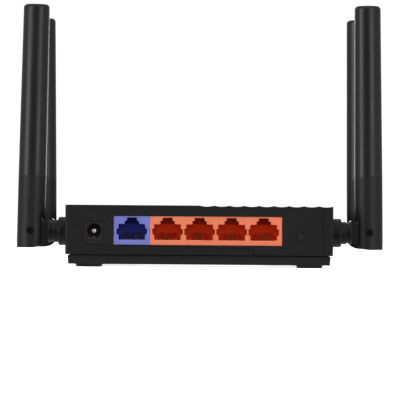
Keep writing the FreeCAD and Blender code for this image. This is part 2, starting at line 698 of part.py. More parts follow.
def retaining_clip():
    """A U-shaped plate pushed down over the swivel's groove, inside the side wall."""
    plate = rod_x(0, HINGE_Z, CLIP_R, CLIP_X[0], CLIP_X[1])
    throat = CLIP_GROOVE_R + CLIP_CLEARANCE
    hole = rod_x(0, HINGE_Z, throat, CLIP_X[0] - 1, CLIP_X[1] + 1)
    mouth = block((CLIP_X[0] - 1, CLIP_X[1] + 1), (-throat, throat), (HINGE_Z - CLIP_R - 1, HINGE_Z))
    return plate.cut([hole, mouth])


def ellipse_face(half_x, half_y, z):
    ellipse = Part.Ellipse(V(PIVOT_X, 0, z), half_x, half_y)
    return Part.Wire([ellipse.toShape()])


def ellipse_loft(low, high, z0, z1):
    """A solid between two upright ellipses, each given as (half_x, half_y)."""
    return Part.makeLoft([ellipse_face(low[0], low[1], z0), ellipse_face(high[0], high[1], z1)], True, True)


def fork_slot():
    """The slot that the knuckle turns in, open towards the case and downwards."""
    y = (-FORK_SLOT_HALF_T, FORK_SLOT_HALF_T)
    shoulder = rod_y(PIVOT_X, HINGE_Z, KNUCKLE_R + KNUCKLE_GAP, y[0], y[1])
    shoulder = shoulder.common(block((PIVOT_X - 9, PIVOT_X), (-3, 3), (HINGE_Z - 9, HINGE_Z + 9)))
    hub = rod_y(PIVOT_X, HINGE_Z, KNUCKLE_HUB_R + HUB_GAP, y[0], y[1])
    way_down = block((PIVOT_X - 9, PIVOT_X + KNUCKLE_HALF_H + HUB_GAP), y, (HINGE_Z - 9, HINGE_Z))
    return shoulder.fuse([hub, way_down]).removeSplitter()


def cheek_relief():
    """What both cheeks leave open around the knuckle: a slanting cut above, a round corner below."""
    reach = KNUCKLE_R + KNUCKLE_GAP
    web_z = math.sqrt(reach**2 - WEB_TIP_X**2)
    middle = (math.atan2(web_z, -WEB_TIP_X) + math.atan2(CHEEK_TOP[1], CHEEK_TOP[0])) / 2
    low_z = -math.sqrt(CHEEK_ROUND_R**2 - CHEEK_LOW_X**2)
    low_middle = (math.atan2(low_z, CHEEK_LOW_X) - math.pi / 2) / 2

    def place(x, z):
        return V(PIVOT_X + x, -6, HINGE_Z + z)

    def on_circle(radius, angle):
        return place(radius * math.cos(angle), radius * math.sin(angle))

    web_tip = place(-WEB_TIP_X, web_z)
    cheek_top = place(CHEEK_TOP[0], CHEEK_TOP[1])
    cheek_low = place(CHEEK_LOW_X, low_z)
    foot = place(0, -CHEEK_ROUND_R)
    around = [foot, place(0, -9), place(-9, -9), place(-9, web_z), web_tip]
    edges = [
        Part.Arc(web_tip, on_circle(reach, middle), cheek_top).toShape(),
        Part.LineSegment(cheek_top, cheek_low).toShape(),
        Part.Arc(cheek_low, on_circle(CHEEK_ROUND_R, low_middle), foot).toShape(),
    ]
    for start, end in zip(around, around[1:]):
        edges.append(Part.LineSegment(start, end).toShape())
    return Part.Face(Part.Wire(edges)).extrude(V(0, 12, 0))


def antenna_fork():
    """The lower end of the antenna: two cheeks around the knuckle, and a spigot for the sleeve."""
    full = (SLEEVE_HALF_X[0], SLEEVE_HALF_Y[0])
    inner = (full[0] - SLEEVE_WALL - SPIGOT_CLEARANCE, full[1] - SLEEVE_WALL - SPIGOT_CLEARANCE)
    body = ellipse_loft(full, full, HINGE_Z + FORK_BOTTOM, HINGE_Z + FORK_TOP)
    spigot = ellipse_loft(inner, inner, HINGE_Z + FORK_TOP - 0.1, HINGE_Z + FORK_TOP + SPIGOT_LENGTH)
    bore = post(PIVOT_X, 0, CABLE_BORE_R, HINGE_Z + 3, HINGE_Z + FORK_TOP + SPIGOT_LENGTH + 1)
    pin_hole = rod_y(PIVOT_X, HINGE_Z, HINGE_PIN_R, -5, 5)
    shape = body.fuse(spigot)
    for cutter in (fork_slot(), cheek_relief(), pin_hole, *pin_sinks(), bore):
        shape = shape.cut(cutter)
    return shape.removeSplitter()


def antenna_sleeve():
    """The long hollow sleeve, slightly narrower towards its closed, rounded tip."""
    z0 = HINGE_Z + FORK_TOP
    z1 = HINGE_Z + ANTENNA_TIP
    low = (SLEEVE_HALF_X[0], SLEEVE_HALF_Y[0])
    high = (SLEEVE_HALF_X[1], SLEEVE_HALF_Y[1])
    outer = ellipse_loft(low, high, z0, z1 - TIP_ROUND)
    sections = []
    for angle in (0, 22.5, 45, 67.5, 85):
        inset = TIP_ROUND * (1 - math.cos(math.radians(angle)))
        rise = TIP_ROUND * math.sin(math.radians(angle)) / math.sin(math.radians(85))
        sections.append(ellipse_face(high[0] - inset, high[1] - inset, z1 - TIP_ROUND + rise))
    tip = Part.makeLoft(sections, True, False)
    wall = SLEEVE_WALL
    inner = ellipse_loft((low[0] - wall, low[1] - wall), (high[0] - wall, high[1] - wall), z0 - 0.01, z1 - SLEEVE_ROOF - 1)
    return outer.fuse(tip).cut(inner).removeSplitter()


def end_cones(wide, narrow, outer, inner):
    """A cone at each end of the hinge axis, wide at outer and narrow at inner, both from the middle."""
    cones = []
    for side in (-1, 1):
        cone = Part.makeCone(wide, narrow, outer - inner, V(PIVOT_X, side * outer, HINGE_Z), V(0, -side, 0))
        cones.append(cone)
    return cones


def pin_sinks():
    """The countersinks that the ends of the hinge pin lie in."""
    surface = SLEEVE_HALF_Y[0]
    return end_cones(PIN_SINK_R, HINGE_PIN_R, surface + 0.02, HINGE_PIN_HALF_L)


def hinge_pin():
    """A plain pin with a shallow dish in each end."""
    pin = rod_y(PIVOT_X, HINGE_Z, HINGE_PIN_R, -HINGE_PIN_HALF_L, HINGE_PIN_HALF_L)
    dish_r, dish_depth = PIN_DISH
    for dish in end_cones(dish_r, dish_r - dish_depth, HINGE_PIN_HALF_L, HINGE_PIN_HALF_L - dish_depth):
        pin = pin.cut(dish)
    return pin


def radiator():
    """A brass tube around the end of the coaxial lead, with the live rod above it."""
    low, middle, high = [HINGE_Z + z for z in RADIATOR_Z]
    tube = post(PIVOT_X, 0, RADIATOR_TUBE_R, low, middle)
    bore = post(PIVOT_X, 0, RADIATOR_BORE_R, low - 1, HINGE_Z + SLEEVE_LEAD[1] + 0.1)
    rod = post(PIVOT_X, 0, RADIATOR_ROD_R, middle - 0.5, high)
    return tube.fuse(rod).cut(bore).removeSplitter()


def sleeve_lead():
    return post(PIVOT_X, 0, LEAD_R, HINGE_Z + SLEEVE_LEAD[0], HINGE_Z + SLEEVE_LEAD[1])


def case_lead(end):
    """One antenna lead inside the case, from the swivel's bore to its pad on the board."""
    board_y = 8.0 if end < 0 else 16.0
    bend_y = -9.0 if end < 0 else 24.0
    points = [
        V(PIVOT_X - NECK_END - 1.4, end * HINGE_Y, HINGE_Z),
        V(43.5, end * HINGE_Y, HINGE_Z),
        V(42.0, bend_y, 11.4),
        V(39.3, board_y, BOARD_TOP_Z + LEAD_R),
    ]
    return cable(points, LEAD_R)


def placed(shape, side, end, lean=0.0):
    """A right-hand antenna part moved to its side (-1 left, 1 right) and end (-1 rear, 1 front).

    The lean is the few tenths of a degree that a friction hinge is left at, towards the case.
    """
    moved = shape.copy()
    moved.rotate(V(PIVOT_X, 0, HINGE_Z), V(0, 1, 0), -lean)
    moved.translate(V(0, end * HINGE_Y, 0))
    if side < 0:
        moved = moved.mirror(V(0, 0, 0), V(1, 0, 0))
    return moved


def corners():
    """The four antennas: a name, its side and its end."""
    names = []
    for end, where in ((-1, "rear"), (1, "front")):
        for side, hand in ((-1, "left"), (1, "right")):
            names.append((where + "_" + hand, side, end))
    return names


def left_and_right(shape):
    return [shape, shape.mirror(V(0, 0, 0), V(1, 0, 0))]


def all_nodes():
    wan, lan = socket_centres()
    nodes = {
        "top_cover": top_cover(),
        "bottom_case": bottom_case(),
        "underside_label": underside_label(),
        "rubber_feet": rubber_feet(),
        "case_screws": case_screws(),
        "circuit_board": circuit_board(),
        "board_screws": board_screws(),
        "processor_chip": processor_chip(),
        "thermal_pad": thermal_pad(),
        "heatsink": heatsink(),
        "memory_chip": memory_chip(),
        "flash_chip": flash_chip(),
        "radio_chips": radio_chips(),
        "shield_cans": shield_cans(),
        "network_transformers": network_transformers(),
        "electrolytic_capacitors": electrolytic_capacitors(),
        "power_inductor": power_inductor(),
        "crystal": crystal(),
        "status_leds": status_leds(),
        "light_guide": light_guide(),
        "wan_socket_housing": socket_housing(WAN_X, wan),
        "wan_socket_contacts": contact_springs(wan),
        "lan_socket_housing": socket_housing(LAN_X, lan),
        "lan_socket_contacts": contact_springs(lan),
        "power_jack_housing": power_jack_housing(),
        "power_jack_pin": power_jack_pin(),
        "power_jack_contact": power_jack_contact(),
        "reset_button_cap": reset_button_cap(),
        "switch_plunger": switch_plunger(),
        "reset_switch_body": reset_switch_body(),
    }
    clips = [placed(retaining_clip(), side, end) for name, side, end in corners()]
    nodes["retaining_clips"] = Part.makeCompound(clips)
    nodes["case_antenna_leads"] = Part.makeCompound(left_and_right(case_lead(-1)) + left_and_right(case_lead(1)))
    makers = {
        "antenna_fork": antenna_fork(),
        "antenna_sleeve": antenna_sleeve(),
        "hinge_pin": hinge_pin(),
        "radiator": radiator(),
        "sleeve_lead": sleeve_lead(),
    }
    base = swivel_base()
    for name, side, end in corners():
        nodes[name + "_swivel_base"] = placed(base, side, end)
        for piece, shape in makers.items():
            nodes[name + "_" + piece] = placed(shape, side, end, INWARD_LEAN[name])
    return nodes


os.makedirs("parts", exist_ok=True)
for node, solid in all_nodes().items():
    print(node, len(solid.Solids), round(solid.Volume, 1), solid.isValid())
    solid.exportStep("parts/" + node + ".step")
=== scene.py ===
import json
import math

import bmesh
import bpy
from mathutils import Matrix, Vector


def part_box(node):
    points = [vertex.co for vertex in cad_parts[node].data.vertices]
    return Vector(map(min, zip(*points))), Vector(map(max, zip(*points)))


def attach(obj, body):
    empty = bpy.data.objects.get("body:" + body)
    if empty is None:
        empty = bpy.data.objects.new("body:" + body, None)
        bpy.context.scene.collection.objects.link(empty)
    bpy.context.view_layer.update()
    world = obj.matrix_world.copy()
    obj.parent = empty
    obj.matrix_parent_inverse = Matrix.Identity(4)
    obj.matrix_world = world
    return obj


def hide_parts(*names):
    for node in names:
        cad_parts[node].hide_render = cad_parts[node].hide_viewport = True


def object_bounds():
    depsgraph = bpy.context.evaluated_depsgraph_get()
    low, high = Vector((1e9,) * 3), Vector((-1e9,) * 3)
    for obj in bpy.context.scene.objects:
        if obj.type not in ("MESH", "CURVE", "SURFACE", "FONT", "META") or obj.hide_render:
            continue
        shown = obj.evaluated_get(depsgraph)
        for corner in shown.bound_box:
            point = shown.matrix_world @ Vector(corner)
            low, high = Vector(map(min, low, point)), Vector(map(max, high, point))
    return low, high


# The looks of a compact wireless router, seen from behind. Metres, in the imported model's own frame:
# +Z up, the socket wall faces -Y, and the origin is on the table under the middle.

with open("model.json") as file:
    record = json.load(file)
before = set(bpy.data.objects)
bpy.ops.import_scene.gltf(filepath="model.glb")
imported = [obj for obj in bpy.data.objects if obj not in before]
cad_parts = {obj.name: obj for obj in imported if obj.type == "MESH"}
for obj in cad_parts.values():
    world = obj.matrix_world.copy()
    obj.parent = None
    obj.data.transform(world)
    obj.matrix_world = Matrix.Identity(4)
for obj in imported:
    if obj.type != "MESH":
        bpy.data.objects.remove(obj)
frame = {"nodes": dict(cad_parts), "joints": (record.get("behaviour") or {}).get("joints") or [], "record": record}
CAD_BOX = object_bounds()

MM = 0.001
CORNERS = ("rear_left", "rear_right", "front_left", "front_right")

# The camera is near the case's own height, about a metre behind it, barely turned and rolled
CAMERA_DISTANCE = 970 * MM
CAMERA_HEIGHT = 14.2 * MM
AIM_HEIGHT = 29.4 * MM
CAMERA_YAW = math.radians(0.78)
CAMERA_ROLL = 0.0075
AIM_X = 0.3 * MM
LENS_MM = 200.8
SENSOR_MM = 36.0
CAMERA_CLIP = (0.01, 20)

# The floor glows like a light table, and a light overhead that shines on it alone evens it out
FLOOR_HALF_SIZE = 3.0
FLOOR_GAP = 0.05 * MM
FLOOR_GLOW = 0.85
OVERHEAD_PLACE = (0, 0.1, 1.7)
OVERHEAD_SIZE = (2.2, 2.2)
OVERHEAD_POWER = 40

# The room is white to the camera. To the object it is an even fill, with a dark end behind the
# camera: full dark inside the cone's first angle, full fill outside its second (degrees)
BACKDROP = 1.05
ROOM_FILL = 0.70
DARK_FILL = 0.08
DARK_CONE = (15, 50)

# Lights stand round the middle of the router, at an azimuth from the camera and an elevation
LIGHT_DISTANCE = 1.6
LIGHT_AIM_HEIGHT = 40 * MM

# Upright softboxes that show only as highlights: name, azimuth, elevation, size, power
SOFTBOX_DISTANCE = 3.0
SOFTBOXES = (
    ("softbox_left", -40, 8, (0.62, 1.9), 36),
    ("softbox_right", 26, 8, (0.42, 1.9), 23),
)
# Cross-polarised lights from above, which leave no highlights: the same five values
CROSS_POLARISED = (
    ("crown_left", -25, 50, (0.7, 0.7), 6.6),
    ("crown_right", 25, 50, (0.7, 0.7), 6.6),
)
# Rim lights from beyond, which show only as a bright line on one antenna: name, azimuth, corner, power
RIM_SIZE = (0.6, 1.6)
RIM_LIGHTS = (
    ("rim_left", 150, "rear_left", 12),
    ("rim_right", -150, "rear_right", 12),
)
# A small fill from beside the camera that reaches only into the sockets, without highlights
SOCKET_FILL_ELEVATION = 4
SOCKET_FILL_SIZE = (0.3, 0.3)
SOCKET_FILL_POWER = 2.1

# Cleaning and rounding of the CAD nodes' own shapes
WELD_DISTANCE = 0.5e-6
FLAT_ANGLE = math.radians(0.3)
SHARP_ANGLE = math.radians(35)
FLAT_FACE_WEIGHT = 90

# Pieces of the case that are rounded: node, edge radius, segments
CASE_PIECES = (
    ("top_cover", 0.18 * MM, 3),
    ("bottom_case", 0.20 * MM, 3),
    ("rubber_feet", 0.25 * MM, 3),
    ("case_screws", 0.08 * MM, 2),
    ("wan_socket_housing", 0.12 * MM, 2),
    ("lan_socket_housing", 0.12 * MM, 2),
    ("power_jack_housing", 0.12 * MM, 2),
    ("power_jack_pin", 0.10 * MM, 2),
    ("reset_button_cap", 0.08 * MM, 2),
)
SOCKET_NODES = ("wan_socket_housing", "lan_socket_housing", "power_jack_housing")
FORK_EDGE = (0.07 * MM, 3)
SWIVEL_EDGE = (0.15 * MM, 3)

# The antenna's sleeve: an oval tube that narrows by the taper on each side, with a closed tip
SLEEVE_SEGMENTS = 96
SLEEVE_RING_STEP = 2 * MM
SLEEVE_TAPER = (0.4 * MM, 0.35 * MM)
SLEEVE_WALL = 1.2 * MM
SLEEVE_ROOF = 2.6 * MM
SLEEVE_SHARP_ANGLE = math.radians(60)
TIP_ROUND = 1.7 * MM
TIP_ANGLE = math.radians(85)
TIP_STEPS = 12
# Its lower edge is eased where it meets the fork: how far in and how far up each ring is
JOINT_EDGE = 0.06 * MM
JOINT_RINGS = (
    (JOINT_EDGE, 0),
    (JOINT_EDGE * 0.3, JOINT_EDGE * 0.3),
    (0, JOINT_EDGE),
    (0, JOINT_EDGE * 2),
)

# Pointiness at which a convex edge starts to turn paler, and at which it is fully pale
PALE_EDGE_POINTINESS = (0.52, 0.62)

# How far in from a socket's face its painted shading starts, and where it is full: painted shade and bounce colour
# in the LAN and WAN blocks, painted light in the power jack.
# Also the height of the latch slots at the block's top, and the height over which painted shade darkens them.
SOCKET_SHADING_DEPTHS = (0.3 * MM, 1.5 * MM)
LATCH_HEIGHT = 3.6 * MM
LATCH_SHADE_FADE = 0.3 * MM


# ---------------------------------------------------------------- materials


class Shader:
    """A node material that starts with object coordinates and a Principled shader."""

    def __init__(self, name):
        self.material = bpy.data.materials.new(name)
        self.material.use_nodes = True
        self.tree = self.material.node_tree
        self.tree.nodes.clear()
        self.output = self.tree.nodes.new("ShaderNodeOutputMaterial")
        self.bsdf = self.tree.nodes.new("ShaderNodeBsdfPrincipled")
        self.coords = self.tree.nodes.new("ShaderNodeTexCoord")
        self.link(self.bsdf.outputs["BSDF"], self.output.inputs["Surface"])
        self.normal = None

    def link(self, start, end):
        self.tree.links.new(start, end)

    def set(self, **values):
        for name, value in values.items():
            self.bsdf.inputs[name.replace("_", " ")].default_value = value

    def stretched(self, scale):
        mapping = self.tree.nodes.new("ShaderNodeMapping")
        mapping.inputs["Scale"].default_value = scale
        self.link(self.coords.outputs["Object"], mapping.inputs["Vector"])
        return mapping.outputs["Vector"]

    def noise(self, size, detail=2.0, roughness=0.5, stretch=(1, 1, 1)):
        """Noise whose features are about size across, in metres."""
        node = self.tree.nodes.new("ShaderNodeTexNoise")
        node.inputs["Scale"].default_value = 1.0 / size
        node.inputs["Detail"].default_value = detail
        node.inputs["Roughness"].default_value = roughness
        self.link(self.stretched(stretch), node.inputs["Vector"])
        return node.outputs["Fac"]

    def cells(self, size):
        """Distance to the middle of rounded cells about size across, in metres."""
        node = self.tree.nodes.new("ShaderNodeTexVoronoi")
        node.inputs["Scale"].default_value = 1.0 / size
        self.link(self.coords.outputs["Object"], node.inputs["Vector"])
        return node.outputs["Distance"]

    def ramp(self, value, stops):
        node = self.tree.nodes.new("ShaderNodeValToRGB")
        elements = node.color_ramp.elements
        while len(elements) < len(stops):
            elements.new(0.5)
        for element, (place, colour) in zip(elements, stops):
            element.position = place
            element.color = tuple(colour) + (1.0,)
        self.link(value, node.inputs["Fac"])
        return node.outputs["Color"]

    def remap(self, value, low, high, start=0.3, end=0.7):
        """Goes from low to high while value goes from start to end."""
        node = self.tree.nodes.new("ShaderNodeMapRange")
        node.inputs["From Min"].default_value = start
        node.inputs["From Max"].default_value = end
        node.inputs["To Min"].default_value = low
        node.inputs["To Max"].default_value = high
        self.link(value, node.inputs["Value"])
        return node.outputs["Result"]

    def mix(self, factor, first, second):
        node = self.tree.nodes.new("ShaderNodeMix")
        node.data_type = "RGBA"
        self.link(factor, node.inputs[0])
        self.feed(first, node.inputs[6])
        self.feed(second, node.inputs[7])
        return node.outputs[2]

    def feed(self, value, socket):
        if isinstance(value, (tuple, list)):
            socket.default_value = tuple(value) + (1.0,)
        else:
            self.link(value, socket)

    def bump(self, height, distance):
        """Adds relief of this depth, in metres, to what is there already."""
        node = self.tree.nodes.new("ShaderNodeBump")
        node.inputs["Strength"].default_value = 1.0
        node.inputs["Distance"].default_value = distance
        self.link(height, node.inputs["Height"])
        if self.normal is not None:
            self.link(self.normal, node.inputs["Normal"])
        self.normal = node.outputs["Normal"]
        self.link(self.normal, self.bsdf.inputs["Normal"])

    def edges(self):
        """1 on sharp convex edges, 0 elsewhere."""
        node = self.tree.nodes.new("ShaderNodeNewGeometry")
        return self.remap(node.outputs["Pointiness"], 0.0, 1.0, *PALE_EDGE_POINTINESS)

    def colour(self, value):
        self.feed(value, self.bsdf.inputs["Base Color"])

    def rough(self, value):
        self.link(value, self.bsdf.inputs["Roughness"])


def scaled(colour, factor):
    """The same colour, lighter or darker."""
    return tuple(min(1.0, channel * factor) for channel in colour)


def moulded(name, colour, roughness, grain=0.35 * MM, depth=0.012 * MM, sheen=1.0, variation=0.12):
    """Injection-moulded plastic: eroded grain, slow colour and gloss changes, paler sharp convex edges."""
    shader = Shader(name)
    cloudy = shader.noise(24 * MM, detail=3.0)
    plain = shader.ramp(
        cloudy, [(0.3, scaled(colour, 1 - variation)), (0.7, scaled(colour, 1 + variation))]
    )
    shader.colour(shader.mix(shader.edges(), plain, scaled(colour, 1.35)))
    fine = shader.noise(3 * MM, detail=4.0)
    shader.rough(shader.remap(fine, roughness - 0.03, roughness + 0.04))
    shader.bump(shader.noise(grain, detail=3.0, roughness=0.65), depth)
    shader.bump(shader.cells(grain * 0.6), depth * 0.4)
    shader.set(Specular_IOR_Level=0.5 * sheen)
    return shader.material


def smooth_plastic(name, colour, roughness, flow=(1, 1, 0.15), sheen=1.0, variation=0.08):
    """Plastic from a polished mould: faint flow lines and tiny pits instead of grain."""
    shader = Shader(name)
    flowing = shader.noise(6 * MM, detail=4.0, stretch=flow)
    plain = shader.ramp(
        flowing, [(0.3, scaled(colour, 1 - variation)), (0.7, scaled(colour, 1 + variation))]
    )
    shader.colour(shader.mix(shader.edges(), plain, scaled(colour, 1.25)))
    shader.rough(shader.remap(flowing, roughness - 0.025, roughness + 0.03))
    shader.bump(shader.noise(0.25 * MM, detail=2.0), 0.003 * MM)
    shader.bump(flowing, 0.01 * MM)
    shader.set(Specular_IOR_Level=0.5 * sheen)
    return shader.material


def socket_plastic(name, colour, inner_shading_colour, node, latch_height=LATCH_HEIGHT):
    """A socket block with painted shading inside its openings (painted shade and bounce colour, or painted light
    where it is paler), and painted shade darker still in the latch slots.
    """
    shader = Shader(name)
    place = shader.tree.nodes.new("ShaderNodeSeparateXYZ")
    shader.link(shader.coords.outputs["Object"], place.inputs["Vector"])
    low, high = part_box(node)
    starts, ends = (low.y + depth for depth in SOCKET_SHADING_DEPTHS)
    latch_z = high.z - latch_height
    # Painted shading: from the face inwards the colour turns to the inner shading colour
    inner_shading_mask = shader.remap(place.outputs["Y"], 0.0, 1.0, starts, ends)
    latch_shade_mask = shader.remap(place.outputs["Z"], 0.0, 1.0, latch_z, latch_z + LATCH_SHADE_FADE)
    flowing = shader.noise(5 * MM, detail=4.0)
    plain = shader.ramp(flowing, [(0.3, scaled(colour, 0.96)), (0.7, scaled(colour, 1.04))])
    # Painted shade in the latch slots: the inner shading colour at less than half its strength
    inside = shader.mix(latch_shade_mask, inner_shading_colour, scaled(inner_shading_colour, 0.45))
    shader.colour(shader.mix(inner_shading_mask, plain, inside))
    shader.rough(shader.remap(flowing, 0.52, 0.58))
    shader.bump(shader.noise(0.25 * MM, detail=2.0), 0.003 * MM)
    shader.set(Specular_IOR_Level=0.15)
    return shader.material


def metal(name, colour, roughness, grain_stretch=(1, 1, 12), scratch=0.004 * MM):
    """Drawn or brushed metal: fine lines along one axis in colour, gloss and relief."""
    shader = Shader(name)
    lines = shader.noise(0.5 * MM, detail=5.0, roughness=0.7, stretch=grain_stretch)
    shader.colour(shader.ramp(lines, [(0.25, scaled(colour, 0.82)), (0.75, scaled(colour, 1.08))]))
    shader.rough(shader.remap(lines, roughness - 0.06, roughness + 0.1))
    shader.bump(lines, scratch)
    shader.set(Metallic=1.0)
    return shader.material


def rubber(name, colour, roughness=0.75):
    """Matt rubber with paler dust in its fine grain."""
    shader = Shader(name)
    dust = shader.noise(2.5 * MM, detail=6.0, roughness=0.7)
    shader.colour(shader.ramp(dust, [(0.35, colour), (0.75, scaled(colour, 1.7))]))
    shader.rough(shader.remap(dust, roughness - 0.06, roughness + 0.08))
    shader.bump(shader.noise(0.2 * MM, detail=4.0), 0.02 * MM)
    shader.set(Specular_IOR_Level=0.35)
    return shader.material


def solder_resist(name):
    """Green lacquer over copper tracks: straight tracks show as slightly raised, paler bands."""
    shader = Shader(name)
    tracks = shader.tree.nodes.new("ShaderNodeTexBrick")
    tracks.inputs["Scale"].default_value = 1.0 / (2.2 * MM)
    tracks.inputs["Mortar Size"].default_value = 0.06
    tracks.inputs["Color1"].default_value = (0.012, 0.10, 0.035, 1)
    tracks.inputs["Color2"].default_value = (0.015, 0.12, 0.045, 1)
    tracks.inputs["Mortar"].default_value = (0.03, 0.22, 0.08, 1)
    shader.link(shader.stretched((1, 1, 1)), tracks.inputs["Vector"])
    shader.colour(tracks.outputs["Color"])
    shader.rough(shader.remap(shader.noise(4 * MM, detail=3.0), 0.28, 0.4))
    shader.bump(tracks.outputs["Fac"], 0.03 * MM)
    return shader.material


def label_film(name):
    """Blank off-white film with a faint fibre."""
    shader = Shader(name)
    fibre = shader.noise(0.4 * MM, detail=6.0, stretch=(1, 4, 1))
    shader.colour(shader.ramp(fibre, [(0.3, (0.66, 0.66, 0.65)), (0.7, (0.78, 0.78, 0.77))]))
    shader.rough(shader.remap(fibre, 0.55, 0.7))
    shader.bump(fibre, 0.006 * MM)
    return shader.material


def clear_acrylic(name):
    """Half-clear plastic for the light guide, a little hazy."""
    shader = Shader(name)
    haze = shader.noise(1.5 * MM, detail=4.0)
    shader.colour(shader.ramp(haze, [(0.3, (0.72, 0.74, 0.76)), (0.7, (0.88, 0.89, 0.9))]))
    shader.rough(shader.remap(haze, 0.22, 0.34))
    shader.bump(haze, 0.01 * MM)
    shader.set(Transmission_Weight=0.55, IOR=1.49)
    return shader.material


MATERIALS = {
    "cover_plastic": moulded("cover_plastic", (0.0095, 0.0095, 0.0103), 0.52, sheen=0.40),
    "lower_plastic": moulded("lower_plastic", (0.0135, 0.0134, 0.0137), 0.56, sheen=0.50),
    "hinge_plastic": smooth_plastic(
        "hinge_plastic", (0.0085, 0.0080, 0.0090), 0.40, flow=(0.15, 1, 1), sheen=0.5
    ),
    "fork_plastic": smooth_plastic("fork_plastic", (0.0090, 0.0086, 0.0095), 0.46, sheen=0.6),
    "sleeve_plastic": smooth_plastic("sleeve_plastic", (0.0088, 0.0087, 0.0092), 0.36, sheen=0.7),
    # The pin is darker than the other black plastics: painted shade for its recessed end
    "pin_plastic": smooth_plastic("pin_plastic", (0.0045, 0.0045, 0.005), 0.3, sheen=0.5),
    "foot_rubber": rubber("foot_rubber", (0.014, 0.014, 0.014)),
    # Each socket's second colour is painted shading for its inside: deeper and more saturated for the WAN and LAN
    # blocks (painted shade and bounce colour), paler than the face for the power jack (painted light)
    "wan_plastic": socket_plastic(
        "wan_plastic", (0.200, 0.220, 0.640), (0.075, 0.085, 0.52), "wan_socket_housing"
    ),
    "lan_plastic": socket_plastic(
        "lan_plastic", (0.950, 0.250, 0.125), (0.99, 0.10, 0.015), "lan_socket_housing"
    ),
    "jack_plastic": socket_plastic(
        "jack_plastic", (0.0175, 0.0165, 0.0178), (0.060, 0.047, 0.056), "power_jack_housing", latch_height=0
    ),
    "button_plastic": moulded("button_plastic", (0.0165, 0.0163, 0.0168), 0.5, grain=0.2 * MM, sheen=0.5),
    "switch_plastic": moulded("switch_plastic", (0.02, 0.02, 0.02), 0.5),
    "clip_acetal": moulded("clip_acetal", (0.72, 0.71, 0.67), 0.45),
    "screw_steel": metal("screw_steel", (0.42, 0.42, 0.44), 0.32),
    "tinned_steel": metal("tinned_steel", (0.66, 0.66, 0.64), 0.30, grain_stretch=(1, 8, 1)),
    "heatsink_aluminium": metal("heatsink_aluminium", (0.62, 0.62, 0.64), 0.36, grain_stretch=(1, 10, 1)),
    "capacitor_aluminium": metal("capacitor_aluminium", (0.7, 0.7, 0.72), 0.28),
    "pin_nickel": metal("pin_nickel", (0.86, 0.85, 0.83), 0.36, grain_stretch=(1, 8, 1)),
    "contact_gold": metal("contact_gold", (0.83, 0.60, 0.22), 0.42, grain_stretch=(1, 8, 1)),
    "radiator_brass": metal("radiator_brass", (0.72, 0.52, 0.22), 0.3),
    "board_laminate": solder_resist("board_laminate"),
    "chip_epoxy": moulded("chip_epoxy", (0.03, 0.03, 0.032), 0.55, grain=0.15 * MM),
    "ferrite": moulded("ferrite", (0.07, 0.07, 0.075), 0.65),
    "thermal_silicone": rubber("thermal_silicone", (0.30, 0.38, 0.48), 0.6),
    "led_resin": smooth_plastic("led_resin", (0.8, 0.8, 0.66), 0.25),
    "clear_acrylic": clear_acrylic("clear_acrylic"),
    "label_film": label_film("label_film"),
    "lead_jacket": smooth_plastic("lead_jacket", (0.016, 0.016, 0.016), 0.45),
}


# ---------------------------------------------------------------- mesh helpers


def slot_of(node):
    """The material slot that the record gives the node."""
    for part in frame["record"]["subparts"]:
        if part["node"] == node:
            return part["material_slot"]
    raise KeyError(node)


def body_of(node):
    """The body that the node moves with."""
    for body, members in frame["record"]["behaviour"]["bodies"].items():
        if node in members:
            return body
    raise KeyError(node)


def object_from(name, bm, sharp_angle=SHARP_ANGLE):
    """A new object with this mesh, smooth but for edges sharper than the angle."""
    mesh = bpy.data.meshes.new(name)
    bm.to_mesh(mesh)
    bm.free()
    mesh.shade_smooth()
    mesh.set_sharp_from_angle(angle=sharp_angle)
    obj = bpy.data.objects.new(name, mesh)
    bpy.context.scene.collection.objects.link(obj)
    return obj


def applied(obj):
    """Turns an object's modifiers into its mesh."""
    graph = bpy.context.evaluated_depsgraph_get()
    mesh = bpy.data.meshes.new_from_object(obj.evaluated_get(graph))
    obj.modifiers.clear()
    obj.data = mesh
    return obj


def round_edges(obj, radius, segments):
    """Small radii on every sharp edge, with the flat faces kept flat to the eye."""
    bevel = obj.modifiers.new("bevel", "BEVEL")
    bevel.width = radius
    bevel.segments = segments
    bevel.limit_method = "ANGLE"
    bevel.angle_limit = SHARP_ANGLE
    bevel.use_clamp_overlap = False
    bevel.loop_slide = False
    bevel.miter_outer = "MITER_ARC"
    weighted = obj.modifiers.new("weighted", "WEIGHTED_NORMAL")
    weighted.keep_sharp = False
    weighted.weight = FLAT_FACE_WEIGHT
    for polygon in obj.data.polygons:
        polygon.use_smooth = True
    for edge in obj.data.edges:
        edge.use_edge_sharp = False
    return applied(obj)


def finished(obj, node):
    """Gives a new piece its node's material, slot and body, in the CAD node's place."""
    slot = slot_of(node)
    obj.data.materials.clear()
    obj.data.materials.append(MATERIALS[slot])
    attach(obj, body_of(node))
    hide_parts(node)
    return obj


def corners_of(points):
    """The lowest and highest corner of the points' box."""
    low = Vector([min(point[axis] for point in points) for axis in range(3)])
    high = Vector([max(point[axis] for point in points) for axis in range(3)])
    return low, high


